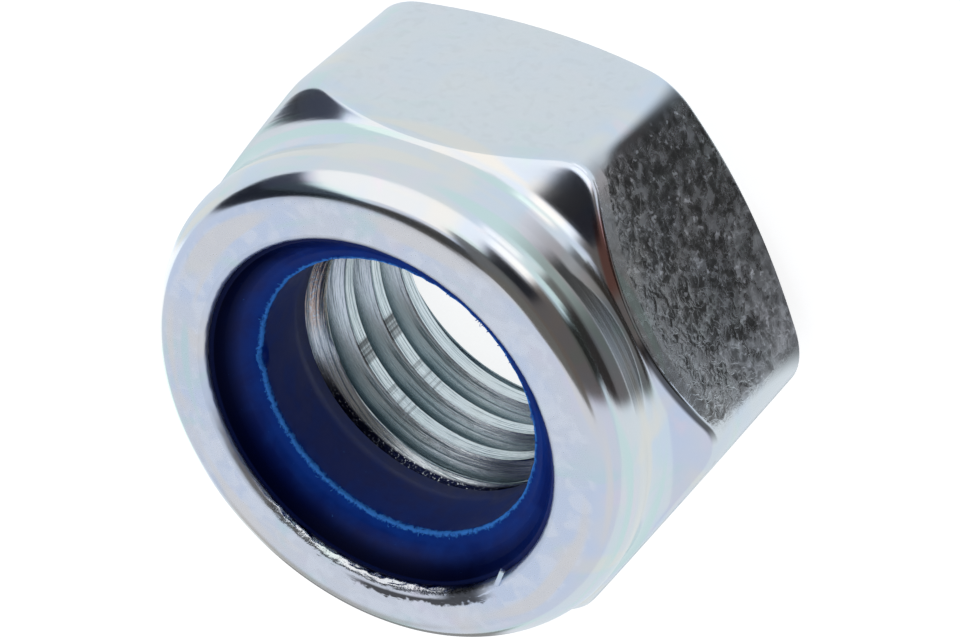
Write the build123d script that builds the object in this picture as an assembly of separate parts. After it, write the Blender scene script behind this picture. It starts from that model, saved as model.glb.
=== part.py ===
from build123d import *
import math
import os

# Nylon insert lock nut, M12 x 1.75, thin pattern with 19 mm across flats.
# The thread axis is +Z and the bearing face lies at z = 0 with its centre at the origin.
# The collar that holds the nylon ring points up. Two flats face +X and -X.
# The bore is plain at the radius of the thread's crests.

os.makedirs("parts", exist_ok=True)

# ---- thread -------------------------------------------------------------------------
thread_major_r = 6.00
thread_pitch = 1.75

# ---- overall --------------------------------------------------------------------------
nut_height = 11.70
across_flats = 19.00

# ---- hexagon --------------------------------------------------------------------------
hex_corner_fillet = 1.84
bearing_face_inset = 0.80
bearing_chamfer_deg = 30.0
shoulder_chamfer_deg = 50.4

# ---- collar: rounded side and a lip rolled inward ---------------------------------------
collar_height = 3.17
collar_inset = 0.17
collar_side_arc_r = 1.87
collar_neck_inset = 0.18
collar_neck_rise = 0.19
rim_turn_deg = 45.0
rim_arc_r = 0.95
groove_fillet_r = 0.35
collar_wall = 1.33
lip_thickness = 0.95
lip_reach = 1.20
lip_nose_r = 0.42
lip_undercut = 0.05

# ---- countersinks ---------------------------------------------------------------------
bearing_sink_margin = 0.40
ledge_sink_margin = 0.20
sink_half_angle_deg = 45.0

# ---- nylon ring -------------------------------------------------------------------------
ring_height = 3.25
ring_grip = 0.64
ring_shoulder_chamfer = 0.85
ring_bore_height = 2.72
ring_edge_round = 0.10
ring_rise = 0.45
ring_top_sag = 0.24


def point(radius, height):
    """A point of a section in the XZ plane."""
    return Vector(radius, 0, height)


def polar(centre, radius, degrees):
    """A point on a section circle."""
    turn = math.radians(degrees)
    return point(centre.X + radius * math.cos(turn), centre.Z + radius * math.sin(turn))


def arc(centre, radius, start_deg, end_deg):
    """A section arc that runs from one angle to another."""
    return ThreePointArc(
        polar(centre, radius, start_deg),
        polar(centre, radius, (start_deg + end_deg) / 2.0),
        polar(centre, radius, end_deg),
    )


def section(*runs):
    """The face inside a closed chain of section curves."""
    edges = []
    for run in runs:
        edges.extend(run.edges())
    return Face(Wire(edges))


def turned(face):
    """The solid that a section sweeps round the thread axis."""
    return revolve(face, axis=Axis.Z)


def slope(degrees):
    """Rise over run of a line at an angle."""
    return math.tan(math.radians(degrees))


# ---- sizes that follow ------------------------------------------------------------------
# the basic crest radius of an internal metric thread
crest_r = thread_major_r - 5.0 / 8.0 * thread_pitch * math.cos(math.radians(30.0))
flat_r = across_flats / 2.0
flat_top_z = nut_height - collar_height
bearing_face_r = flat_r - bearing_face_inset
collar_outer_r = flat_r - collar_inset
recess_r = collar_outer_r - collar_wall
lip_edge_r = recess_r - lip_reach
lip_under_z = nut_height - lip_thickness
ledge_z = lip_under_z - ring_height

# ---- steel body: the turned outside cut to a hexagon --------------------------------------
clear_r = across_flats / math.sqrt(3.0) + 1.0
bearing_chamfer_z = (clear_r - bearing_face_r) * slope(bearing_chamfer_deg)
shoulder_outer_z = flat_top_z - (clear_r - flat_r) * slope(shoulder_chamfer_deg)

# the arc of the side and the tighter arc of the rim meet in one tangent
rim_turn = math.radians(rim_turn_deg)
arc_step = collar_side_arc_r - rim_arc_r
side_centre_r = collar_outer_r - collar_side_arc_r
rim_centre = point(side_centre_r + arc_step * math.cos(rim_turn), nut_height - rim_arc_r)
side_centre = point(side_centre_r, rim_centre.Z - arc_step * math.sin(rim_turn))

# below its widest circle the collar draws in by a long arc to a short upright neck
neck_r = collar_outer_r - collar_neck_inset
neck_z = flat_top_z + (flat_r - neck_r) * slope(shoulder_chamfer_deg)
neck_corner = point(neck_r, neck_z)
collar_foot = point(neck_r, neck_z + collar_neck_rise)
foot_drop = side_centre.Z - collar_foot.Z
foot_arc_r = (foot_drop**2 + collar_neck_inset**2) / (2.0 * collar_neck_inset)
foot_centre = point(collar_outer_r - foot_arc_r, side_centre.Z)
foot_turn_deg = math.degrees(math.asin(foot_drop / foot_arc_r))

outside = section(
    Polyline(
        point(0, 0),
        point(bearing_face_r, 0),
        point(clear_r, bearing_chamfer_z),
        point(clear_r, shoulder_outer_z),
        neck_corner,
        collar_foot,
    ),
    arc(foot_centre, foot_arc_r, -foot_turn_deg, 0.0),
    arc(side_centre, collar_side_arc_r, 0.0, rim_turn_deg),
    arc(rim_centre, rim_arc_r, rim_turn_deg, 90.0),
    Polyline(point(rim_centre.X, nut_height), point(0, nut_height), point(0, 0)),
)
# the fillet in the groove is no larger than the short neck above it allows
neck_turn = math.radians(90.0 - shoulder_chamfer_deg)
neck_limit = 0.95 * (collar_foot.Z - neck_z) / math.tan(neck_turn / 2.0)
groove_corner = outside.vertices().sort_by_distance(neck_corner)[0]
outside = outside.fillet_2d(min(groove_fillet_r, neck_limit), [groove_corner])

hex_bar = extrude(RegularPolygon(flat_r, 6, major_radius=False, rotation=30), nut_height)
hex_bar = fillet(hex_bar.edges().filter_by(Axis.Z), hex_corner_fillet)
nut_body = turned(outside) & hex_bar

# ---- steel body: recess under the rolled lip ------------------------------------------------
above_z = nut_height + 1.0
nose_centre = point(lip_edge_r + lip_nose_r, nut_height - lip_nose_r)
lip_under_end = point(lip_edge_r + lip_undercut, lip_under_z)
ring_shoulder = point(recess_r - ring_shoulder_chamfer, lip_under_z - ring_shoulder_chamfer)
recess = section(
    Polyline(
        point(0, ledge_z),
        point(recess_r, ledge_z),
        point(recess_r, ring_shoulder.Z),
        point(ring_shoulder.X, lip_under_z),
        lip_under_end,
        point(lip_edge_r, nose_centre.Z),
    ),
    arc(nose_centre, lip_nose_r, 180.0, 90.0),
    Polyline(
        point(nose_centre.X, nut_height),
        point(nose_centre.X, above_z),
        point(0, above_z),
        point(0, ledge_z),
    ),
)
nut_body -= turned(recess)

# ---- steel body: bore with a countersink at each end ------------------------------------------
bearing_sink_r = thread_major_r + bearing_sink_margin
bearing_sink_z = (bearing_sink_r - crest_r) / slope(sink_half_angle_deg)
ledge_sink_r = thread_major_r + ledge_sink_margin
ledge_sink_z = ledge_z - (ledge_sink_r - crest_r) / slope(sink_half_angle_deg)
bore = section(
    Polyline(
        point(0, 0),
        point(bearing_sink_r, 0),
        point(crest_r, bearing_sink_z),
        point(crest_r, ledge_sink_z),
        point(ledge_sink_r, ledge_z),
        point(0, ledge_z),
        point(0, 0),
    )
)
nut_body -= turned(bore)

# ---- nylon ring: seated on the ledge, gripped under the lip -------------------------------------
ring_bore_r = thread_major_r - ring_grip
ring_edge_z = ledge_z + ring_bore_height
rise_share = ring_rise / (nose_centre.Z - lip_under_z)
rise_top = point(lip_under_end.X - lip_undercut * rise_share, lip_under_z + ring_rise)
edge_top = point(ring_bore_r + ring_edge_round, ring_edge_z)
top_run = edge_top - rise_top
top_normal = Vector(-top_run.Z, 0, top_run.X).normalized()
ring = section(
    Polyline(
        point(ring_bore_r, ledge_z),
        point(recess_r, ledge_z),
        point(recess_r, ring_shoulder.Z),
        point(ring_shoulder.X, lip_under_z),
        lip_under_end,
        rise_top,
    ),
    ThreePointArc(rise_top, (rise_top + edge_top) / 2.0 + top_normal * ring_top_sag, edge_top),
    Polyline(
        edge_top,
        point(ring_bore_r, ring_edge_z - ring_edge_round),
        point(ring_bore_r, ledge_z),
    ),
)
nylon_insert = turned(ring)

export_step(nut_body, "parts/nut_body.step")
export_step(nylon_insert, "parts/nylon_insert.step")
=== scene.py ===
"""Looks of a thin M12 nylon insert lock nut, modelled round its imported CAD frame.

The nut stands on its bearing face with the thread axis along +Z, and its collar,
which grips the nylon ring, points up. Two wrench flats face +X and -X.
"""

import logging
import math
import random
from dataclasses import dataclass, field
from enum import Enum

import bmesh
import bpy
from mathutils import Matrix, Vector, noise


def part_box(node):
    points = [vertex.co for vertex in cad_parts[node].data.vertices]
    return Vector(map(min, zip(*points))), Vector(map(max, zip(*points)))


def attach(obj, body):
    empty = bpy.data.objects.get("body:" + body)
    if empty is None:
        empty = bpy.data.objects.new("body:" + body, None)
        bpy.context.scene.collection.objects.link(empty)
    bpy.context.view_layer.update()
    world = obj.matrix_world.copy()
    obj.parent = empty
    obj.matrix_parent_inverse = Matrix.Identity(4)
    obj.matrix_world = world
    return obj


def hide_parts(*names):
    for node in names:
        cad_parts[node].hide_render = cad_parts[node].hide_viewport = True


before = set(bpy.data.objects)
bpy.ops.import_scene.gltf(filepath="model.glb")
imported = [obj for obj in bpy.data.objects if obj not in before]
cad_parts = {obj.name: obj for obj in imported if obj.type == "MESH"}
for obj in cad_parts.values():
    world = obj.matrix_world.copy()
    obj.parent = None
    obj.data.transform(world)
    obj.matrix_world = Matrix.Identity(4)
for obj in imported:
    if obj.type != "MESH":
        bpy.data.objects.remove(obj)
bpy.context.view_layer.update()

MM = 0.001
TURN = 2.0 * math.pi
# the angle from one wrench flat to the next
FLAT_TURN = TURN / 6.0
# columns of vertices in a full turn of the nut, and sectors that it is spun in
COLUMNS = 360
SECTORS = 6
# steps along and columns across a card of the studio
CARD_STEPS = 32
CARD_COLUMNS = 48

Pair = tuple[float, float]
Geometry = list[bmesh.types.BMVert | bmesh.types.BMEdge | bmesh.types.BMFace]

logging.basicConfig(level=logging.INFO, format="%(name)s: %(message)s")
log = logging.getLogger("lock_nut")


# ---- section drawing -------------------------------------------------------------------


@dataclass(frozen=True)
class Corner:
    """A corner of a turned section.

    Args:
        radius: distance from the thread axis.
        height: height above the bearing face.
        fillet: radius of the rounding at this corner.
        steps: number of steps in the rounding, or 0 for a sharp corner.
        spans: number of equal steps from this corner to the next one.
    """

    radius: float
    height: float
    fillet: float = 0.0
    steps: int = 0
    spans: int = 1

    @property
    def point(self) -> Vector:
        """The corner as a 2-D point."""
        return Vector((self.radius, self.height))


def arc_corners(centre: Vector, radius: float, start: float, end: float, steps: int) -> list[Corner]:
    """Lays sharp corners along a section arc.

    Args:
        centre: the arc's centre as (radius, height).
        radius: the arc's own radius.
        start: the angle of its first point, in degrees above the outward direction.
        end: the angle of its last point.
        steps: number of steps from the first to the last.

    Returns:
        The corners, both ends included.
    """
    turns = [math.radians(start + (end - start) * i / steps) for i in range(steps + 1)]
    return [
        Corner(centre.x + radius * math.cos(t), centre.y + radius * math.sin(t)) for t in turns
    ]


def rounded(before: Vector, corner: Corner, after: Vector) -> list[Vector]:
    """Rounds one corner of a section.

    Args:
        before: the section's previous corner.
        corner: the corner to round.
        after: the section's next corner.

    Returns:
        Points along the rounding, or the corner itself where it is sharp.
    """
    if not corner.steps:
        return [corner.point]
    back = (before - corner.point).normalized()
    ahead = (after - corner.point).normalized()
    half = math.acos(max(-1.0, min(1.0, back.dot(ahead)))) / 2.0
    centre = corner.point + (back + ahead).normalized() * (corner.fillet / math.sin(half))
    start = corner.point + back * (corner.fillet / math.tan(half)) - centre
    side = 1.0 if back.x * ahead.y - back.y * ahead.x < 0.0 else -1.0
    sweep = side * (math.pi - 2.0 * half)
    points = []
    for i in range(corner.steps + 1):
        turn = sweep * i / corner.steps
        cos_t, sin_t = math.cos(turn), math.sin(turn)
        spoke = Vector((start.x * cos_t - start.y * sin_t, start.x * sin_t + start.y * cos_t))
        points.append(centre + spoke)
    return points


def outline(corners: list[Corner]) -> list[Vector]:
    """Draws an open section with its corners rounded and its straight runs divided.

    Args:
        corners: the section's corners, in order.

    Returns:
        Points as (radius, height).
    """
    points: list[Vector] = []
    last = len(corners) - 1
    for i, corner in enumerate(corners):
        before = corners[max(i - 1, 0)].point
        after = corners[min(i + 1, last)].point
        turned = [corner.point] if i in (0, last) else rounded(before, corner, after)
        if i and corners[i - 1].spans > 1:
            start, count = points[-1], corners[i - 1].spans
            points.extend(start.lerp(turned[0], k / count) for k in range(1, count))
        points.extend(turned)
    return points


# ---- meshes ----------------------------------------------------------------------------


def lay_section(bm: bmesh.types.BMesh, section: list[Vector], azimuth: float = 0.0) -> Geometry:
    """Draws a section in the half plane at one azimuth and numbers its vertices.

    Args:
        bm: the mesh, which has an integer vertex layer named station for the numbers.
        section: points as (radius, height).
        azimuth: direction of the half plane, in radians.

    Returns:
        The new vertices and edges.
    """
    station = bm.verts.layers.int["station"]
    cos_a, sin_a = math.cos(azimuth), math.sin(azimuth)
    verts = [bm.verts.new((p.x * cos_a, p.x * sin_a, p.y)) for p in section]
    for i, vert in enumerate(verts):
        vert[station] = i
    return verts + [bm.edges.new(pair) for pair in zip(verts, verts[1:])]


def spin_part(
    bm: bmesh.types.BMesh,
    geom: Geometry,
    angle: float,
    steps: int,
    centre: tuple[float, float, float] = (0.0, 0.0, 0.0),
    axis: tuple[float, float, float] = (0.0, 0.0, 1.0),
    rise: float = 0.0,
) -> None:
    """Spins geometry through part of a turn and leaves both ends open.

    Args:
        bm: the mesh.
        geom: what is spun.
        angle: how far it is spun, in radians.
        steps: number of steps on the way.
        centre: a point of the axis.
        axis: the axis's direction.
        rise: how far it climbs in one step.
    """
    bmesh.ops.spin(
        bm,
        geom=geom,
        cent=centre,
        axis=axis,
        dvec=(0.0, 0.0, rise),
        angle=angle,
        steps=steps,
        use_merge=False,
        use_normal_flip=False,
        use_duplicate=False,
    )


def spin_section(bm: bmesh.types.BMesh, section: list[Vector], rise: float, turns: int = 1) -> None:
    """Adds a section to a mesh and turns it about the thread axis.

    One sector is spun, and the rest of the way is copies of it.

    Args:
        bm: the mesh, which has an integer vertex layer named station for the place in the section.
        section: points as (radius, height).
        rise: how far the section climbs in one turn.
        turns: number of whole turns.
    """
    verts, edges, faces = len(bm.verts), len(bm.edges), len(bm.faces)
    spin_part(bm, lay_section(bm, section), TURN / SECTORS, COLUMNS // SECTORS, rise=rise / COLUMNS)
    sector = list(bm.verts)[verts:] + list(bm.edges)[edges:] + list(bm.faces)[faces:]
    for i in range(1, SECTORS * turns):
        copy = bmesh.ops.duplicate(bm, geom=sector)["geom"]
        moved = [g for g in copy if isinstance(g, bmesh.types.BMVert)]
        step = Matrix.Translation((0.0, 0.0, rise * i / SECTORS))
        turn = Matrix.Rotation(TURN * i / SECTORS, 4, "Z")
        bmesh.ops.transform(bm, matrix=step @ turn, verts=moved)


def azimuth_of(co: Vector) -> float:
    """Angle of a point round the thread axis, in radians."""
    return math.atan2(co.y, co.x)


def radius_of(co: Vector) -> float:
    """Distance of a point from the thread axis."""
    return math.hypot(co.x, co.y)


def move_to(vert: bmesh.types.BMVert, radius: float, height: float) -> None:
    """Moves a vertex to a radius and height, at the azimuth it has."""
    turn = azimuth_of(vert.co)
    vert.co = Vector((radius * math.cos(turn), radius * math.sin(turn), height))


def held(value: float) -> float:
    """A number held between 0 and 1."""
    return min(1.0, max(0.0, value))


def absorb(bm: bmesh.types.BMesh, part: bmesh.types.BMesh) -> None:
    """Moves all of one mesh into another.

    Args:
        bm: the mesh that grows.
        part: the mesh that it takes up, which is freed.
    """
    mesh = bpy.data.meshes.new("part")
    part.to_mesh(mesh)
    part.free()
    bm.from_mesh(mesh)
    bpy.data.meshes.remove(mesh)


def as_object(bm: bmesh.types.BMesh, name: str) -> bpy.types.Object:
    """Makes a mesh an object at the origin.

    Args:
        bm: the mesh, which is freed.
        name: the object's name.

    Returns:
        The object, linked to the scene.
    """
    mesh = bpy.data.meshes.new(name)
    bm.to_mesh(mesh)
    bm.free()
    made = bpy.data.objects.new(name, mesh)
    bpy.context.scene.collection.objects.link(made)
    return made


def finished(bm: bmesh.types.BMesh, name: str, weld: float) -> bpy.types.Object:
    """Welds a mesh, points its faces outwards and makes it a smooth-shaded object.

    Args:
        bm: the mesh, which is freed.
        name: the object's name.
        weld: distance below which vertices are merged.

    Returns:
        The object, at the origin and linked to the scene.
    """
    bmesh.ops.remove_doubles(bm, verts=bm.verts, dist=weld)
    bmesh.ops.dissolve_degenerate(bm, edges=bm.edges, dist=weld)
    bmesh.ops.recalc_face_normals(bm, faces=bm.faces)
    open_edges = sum(1 for e in bm.edges if not e.is_manifold)
    piece = as_object(bm, name)
    piece.data.shade_smooth()
    log.info("%s: %d faces, %d open edges", name, len(piece.data.polygons), open_edges)
    return piece


@dataclass(frozen=True)
class Ripple:
    """A noise round the thread axis, which roughens an edge.

    Args:
        around: how fast it changes round the axis.
        width: the distance over which it changes across the edge.
        shift: a step aside, so that two noises differ.
    """

    around: float
    width: float
    shift: float = 0.0

    def at(self, outward: Vector, across: float) -> float:
        """The noise, from -1 to 1, in an outward direction and at a place across the edge."""
        return noise.noise(outward * self.around + Vector((self.shift, 0.0, across / self.width)))


# ---- steel body -------------------------------------------------------------------------


@dataclass(frozen=True)
class Thread:
    """The internal M12 x 1.75 right-hand thread.

    Args:
        major_radius: radius at the root of the grooves.
        pitch: rise of one turn.
        crest_radius: radius at the crests, at the loose end of the usual tolerance.
        flank_deg: slope of the flanks.
        phase: height of a groove's middle at azimuth 0.
        root_rounding: radius in the corners of the root.
        crest_rounding: radius of the corners of the crest.
    """

    major_radius: float = 6.00 * MM
    pitch: float = 1.75 * MM
    crest_radius: float = 5.18 * MM
    flank_deg: float = 30.0
    phase: float = 1.56 * MM
    root_rounding: float = 0.10 * MM
    crest_rounding: float = 0.035 * MM

    def section(self, base: float) -> list[Vector]:
        """Draws one pitch of the thread, from the middle of a groove to the next.

        Args:
            base: height of the lower groove's middle.

        Returns:
            Points as (radius, height).
        """
        root, crest = self.major_radius, self.crest_radius
        # the flat at the root is an eighth of the pitch wide
        half_root = self.pitch / 16.0
        flank = (root - crest) * math.tan(math.radians(self.flank_deg))
        half_crest = self.pitch / 2.0 - half_root - flank
        middle, top = base + self.pitch / 2.0, base + self.pitch
        return outline(
            [
                Corner(root, base),
                Corner(root, base + half_root, self.root_rounding, 3, spans=7),
                Corner(crest, middle - half_crest, self.crest_rounding, 2, spans=4),
                Corner(crest, middle + half_crest, self.crest_rounding, 2, spans=7),
                Corner(root, top - half_root, self.root_rounding, 3),
                Corner(root, top),
            ]
        )


@dataclass(frozen=True)
class Sliver:
    """The thin sliver of metal torn up at the lip's inner edge.

    Args:
        size: its length, width and thickness.
        azimuth: where it stands round the lip, in degrees.
        twist: how far its length is turned from the outward direction, in degrees.
        lean: how far it leans about its length, in degrees.
        overlap: how far its middle lies past the lip's edge and under the collar's top.
        bevel: width of its bevelled edges.
    """

    size: tuple[float, float, float] = (0.76 * MM, 0.17 * MM, 0.16 * MM)
    azimuth: float = -73.8
    twist: float = -64.0
    lean: float = -14.0
    overlap: float = 0.01 * MM
    bevel: float = 0.03 * MM

    def add(self, bm: bmesh.types.BMesh, radius: float, height: float) -> None:
        """Adds the sliver to the body's mesh.

        Args:
            bm: the mesh.
            radius: radius of the lip's inner edge.
            height: height of the collar's top.
        """
        chip = bmesh.new()
        chip.verts.layers.int.new("station")
        bmesh.ops.create_cube(chip, size=1.0)
        shape = Matrix.Diagonal((*self.size, 1.0))
        seat = Matrix.Translation((radius + self.overlap, 0.0, height - self.overlap))
        twist = Matrix.Rotation(math.radians(self.twist), 4, "Z")
        lean = Matrix.Rotation(math.radians(self.lean), 4, "X")
        turn = Matrix.Rotation(math.radians(self.azimuth), 4, "Z")
        bmesh.ops.transform(chip, matrix=turn @ seat @ twist @ lean @ shape, verts=chip.verts)
        bmesh.ops.bevel(
            chip,
            geom=list(chip.edges),
            offset=self.bevel,
            segments=2,
            profile=0.5,
            affect="EDGES",
            material=-1,
        )
        absorb(bm, chip)


@dataclass
class NutBody:
    """The steel body: a hexagon, a rounded collar with its lip rolled inwards, and the thread.

    Args:
        box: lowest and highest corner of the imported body, which give its height and width.
        thread: the thread in its bore.
        sliver: the sliver on its lip.
        corner_fillet: rounding of the hexagon's upright corners.
        bearing_face_inset: how far the bearing face's edge lies inside the flats.
        bearing_chamfer_deg: slope of the chamfer above the bearing face.
        shoulder_chamfer_deg: slope of the shoulder below the collar.
        collar_height: height of the collar above the flats.
        collar_inset: how far the collar's widest circle lies inside the flats.
        neck_inset: how far the neck is drawn in below that circle.
        side_arc: radius of the arc of the collar's side.
        rim_turn_deg: angle at which the rim's tighter arc takes over.
        rim_arc: radius of the rim's arc.
        collar_wall: thickness of the collar's wall.
        lip_thickness: thickness of the rolled lip.
        lip_reach: how far the lip reaches in over the ring.
        lip_nose: rounding of the lip's inner edge.
        lip_undercut: how far that edge draws back at the lip's underside.
        ring_height: height of the pocket that holds the ring.
        ring_shoulder: chamfer in the pocket's upper corner.
        bearing_sink_margin: how far the countersink at the bearing face is wider than the thread.
        ledge_sink_margin: how far the countersink at the ledge is wider than the thread.
        edge_rounding: rounding of the outer edges.
        groove_rounding: largest rounding of the bend between the shoulder and the neck.
        groove_shares: how much of the shoulder and of the neck that bend takes up at most.
        rollover: height and width of the flats' rolled-over upper edge.
        rollover_rounding: rounding of that edge in the middle of a flat.
        rollover_growth: how fast that rounding grows as a corner stands out past the flats.
        torn_azimuth: middle of the torn part of the lip's edge, in degrees.
        torn_reach: half the torn part, and how far it fades, in degrees.
        fine: noise of the lip's edge, for each millimetre of its radius.
        fine_push: how far that noise moves the edge, and how much tearing adds.
        coarse: broader noise of the lip's edge.
        coarse_push: how far that noise moves the edge, and how much tearing adds.
    """

    box: tuple[Vector, Vector]
    thread: Thread = field(default_factory=Thread)
    sliver: Sliver = field(default_factory=Sliver)
    corner_fillet: float = 1.84 * MM
    bearing_face_inset: float = 0.80 * MM
    bearing_chamfer_deg: float = 30.0
    shoulder_chamfer_deg: float = 50.4
    collar_height: float = 3.17 * MM
    collar_inset: float = 0.17 * MM
    neck_inset: float = 0.09 * MM
    side_arc: float = 1.87 * MM
    rim_turn_deg: float = 45.0
    rim_arc: float = 0.95 * MM
    collar_wall: float = 1.33 * MM
    lip_thickness: float = 0.95 * MM
    lip_reach: float = 1.20 * MM
    lip_nose: float = 0.30 * MM
    lip_undercut: float = 0.05 * MM
    ring_height: float = 3.25 * MM
    ring_shoulder: float = 0.85 * MM
    bearing_sink_margin: float = 0.40 * MM
    ledge_sink_margin: float = 0.20 * MM
    edge_rounding: float = 0.30 * MM
    groove_rounding: float = 2.00 * MM
    groove_shares: Pair = (0.75, 0.92)
    rollover: Pair = (0.50 * MM, 0.070 * MM)
    rollover_rounding: float = 0.10 * MM
    rollover_growth: float = 0.90
    torn_azimuth: float = -121.0
    torn_reach: Pair = (34.0, 4.0)
    fine: Ripple = Ripple(5.0, 0.10 * MM)
    fine_push: Pair = (0.008 * MM, 0.060 * MM)
    coarse: Ripple = Ripple(1.6, 0.30 * MM, 9.0)
    coarse_push: Pair = (0.010 * MM, 0.035 * MM)

    @property
    def height(self) -> float:
        """Height of the collar's top above the bearing face."""
        return self.box[1].z

    @property
    def flat_radius(self) -> float:
        """Distance from the axis to a wrench flat."""
        return self.box[1].x

    @property
    def flat_top(self) -> float:
        """Height of the flats' upper edge, in the middle of a flat."""
        return self.height - self.collar_height

    @property
    def collar_radius(self) -> float:
        """Radius at the widest circle of the collar."""
        return self.flat_radius - self.collar_inset

    @property
    def recess_radius(self) -> float:
        """Radius of the pocket that holds the ring."""
        return self.collar_radius - self.collar_wall

    @property
    def lip_radius(self) -> float:
        """Radius of the lip's inner edge."""
        return self.recess_radius - self.lip_reach

    @property
    def lip_under(self) -> float:
        """Height of the lip's underside."""
        return self.height - self.lip_thickness

    @property
    def ledge(self) -> float:
        """Height of the ledge that the ring sits on."""
        return self.lip_under - self.ring_height

    @property
    def bearing_sink_radius(self) -> float:
        """Radius of the countersink at the bearing face."""
        return self.thread.major_radius + self.bearing_sink_margin

    @property
    def ledge_sink_radius(self) -> float:
        """Radius of the countersink at the ledge."""
        return self.thread.major_radius + self.ledge_sink_margin

    @property
    def bearing_slope(self) -> float:
        """Rise over run of the chamfer above the bearing face."""
        return math.tan(math.radians(self.bearing_chamfer_deg))

    @property
    def shoulder_slope(self) -> float:
        """Rise over run of the shoulder below the collar."""
        return math.tan(math.radians(self.shoulder_chamfer_deg))

    @property
    def rim_step(self) -> Vector:
        """The way from the centre of the side's arc to the centre of the rim's."""
        turn = math.radians(self.rim_turn_deg)
        return Vector((math.cos(turn), math.sin(turn))) * (self.side_arc - self.rim_arc)

    @property
    def side_centre(self) -> Vector:
        """Centre of the arc of the collar's side, as (radius, height)."""
        rim_height = self.height - self.rim_arc
        return Vector((self.collar_radius - self.side_arc, rim_height - self.rim_step.y))

    @staticmethod
    def off_flat(azimuth: float) -> float:
        """Angle of an azimuth from the middle of the nearest wrench flat, in radians."""
        return (azimuth + FLAT_TURN / 2.0) % FLAT_TURN - FLAT_TURN / 2.0

    def hexagon(self, azimuth: float) -> float:
        """Measures the rounded hexagon in one direction.

        Args:
            azimuth: the direction, in radians.

        Returns:
            The distance from the axis to its wall.
        """
        aside = self.off_flat(azimuth)
        off_corner = FLAT_TURN / 2.0 - abs(aside)
        centre = (self.flat_radius - self.corner_fillet) / math.cos(FLAT_TURN / 2.0)
        tangent_turn = math.atan2(centre * math.sin(FLAT_TURN / 2.0), self.flat_radius)
        if abs(aside) < tangent_turn:
            return self.flat_radius / math.cos(aside)
        across = centre * math.sin(off_corner)
        return centre * math.cos(off_corner) + math.sqrt(self.corner_fillet**2 - across**2)

    def lower_outside(self, azimuth: float) -> list[Vector]:
        """Draws the outside from the bearing face up to the collar's widest circle.

        Args:
            azimuth: the direction that the section faces, in radians.

        Returns:
            Points as (radius, height).
        """
        wall = self.hexagon(azimuth)
        past_flat = wall - self.flat_radius
        face = self.flat_radius - self.bearing_face_inset
        neck = self.collar_radius - self.neck_inset
        neck_z = self.flat_top + (self.flat_radius - neck) * self.shoulder_slope
        # a straight run from the neck touches the arc of the collar's side
        away = Vector((neck, neck_z)) - self.side_centre
        lean = -math.atan2(away.y, away.x) - math.acos(self.side_arc / away.length)
        run = math.sqrt(away.length**2 - self.side_arc**2)
        # the flat's upper edge is rolled over, and rounder at the hexagon's corners
        soft = self.edge_rounding
        top = self.flat_top - past_flat * self.shoulder_slope
        rolled = wall - self.rollover[1]
        rolled_z = top + self.rollover[1] * self.shoulder_slope
        crisp = self.rollover_rounding + self.rollover_growth * past_flat
        # the bend at the neck is as wide as the shoulder and the run leave room for
        cone = (rolled - neck) * math.hypot(1.0, self.shoulder_slope)
        bend = math.tan((math.radians(90.0 - self.shoulder_chamfer_deg) + lean) / 2.0)
        on_cone, on_run = self.groove_shares
        groove = min(self.groove_rounding, on_cone * cone / bend, on_run * run / bend)
        return outline(
            [
                Corner(self.bearing_sink_radius, 0.0, spans=4),
                Corner(face, 0.0, soft, 4, spans=3),
                Corner(wall, (wall - face) * self.bearing_slope, soft, 5, spans=8),
                Corner(wall, top - self.rollover[0], 3.0 * soft, 2),
                Corner(rolled, rolled_z, crisp, 6, spans=4),
                Corner(neck, neck_z, groove, 10),
                *arc_corners(self.side_centre, self.side_arc, -math.degrees(lean), 0.0, 6),
            ]
        )

    def upper_outside(self) -> list[Vector]:
        """Draws the collar's side, rim and lip, and the pocket down to the ledge's countersink.

        Returns:
            Points as (radius, height).
        """
        side = self.side_centre
        rim = side + self.rim_step
        nose = Vector((self.lip_radius + self.lip_nose, self.height - self.lip_nose))
        return outline(
            [
                *arc_corners(side, self.side_arc, 0.0, self.rim_turn_deg, 12)[1:],
                *arc_corners(rim, self.rim_arc, self.rim_turn_deg, 90.0, 12)[1:-1],
                Corner(rim.x, self.height, spans=8),
                *arc_corners(nose, self.lip_nose, 90.0, 180.0, 12),
                Corner(self.lip_radius + self.lip_undercut, self.lip_under, spans=3),
                Corner(self.recess_radius - self.ring_shoulder, self.lip_under),
                Corner(self.recess_radius, self.lip_under - self.ring_shoulder),
                Corner(self.recess_radius, self.ledge),
                Corner(self.ledge_sink_radius, self.ledge),
            ]
        )

    def bore_radius(self, radius: float, height: float) -> float:
        """Opens the threaded bore where the two countersinks have cut it.

        Args:
            radius: the thread's radius at a point.
            height: the point's height.

        Returns:
            The radius of the metal there.
        """
        low = self.bearing_sink_radius - height
        high = self.ledge_sink_radius - (self.ledge - height)
        return max(radius, low, high)

    def build(self) -> bpy.types.Object:
        """Models the whole body.

        Returns:
            The body as one closed mesh.
        """
        bm = bmesh.new()
        bm.verts.layers.int.new("station")
        lower = self.lower_outside(0.0)
        spin_section(bm, lower + self.upper_outside(), 0.0)
        self.follow_hexagon(bm, len(lower))
        self.tear_lip(bm)
        self.cut_thread(bm)
        self.mark_flats(bm)
        self.sliver.add(bm, self.lip_radius, self.height)
        return finished(bm, "nut_body_steel", 0.002 * MM)

    def follow_hexagon(self, bm: bmesh.types.BMesh, count: int) -> None:
        """Moves the lower outside of the turned body out to the hexagon.

        Args:
            bm: the mesh.
            count: number of points in the section of the lower outside.
        """
        station = bm.verts.layers.int["station"]
        columns: dict[int, list[Vector]] = {}
        for vert in bm.verts:
            if vert[station] < count:
                turn = azimuth_of(vert.co)
                column = round(turn * COLUMNS / TURN)
                if column not in columns:
                    columns[column] = self.lower_outside(turn)
                target = columns[column][vert[station]]
                move_to(vert, target.x, target.y)

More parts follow.
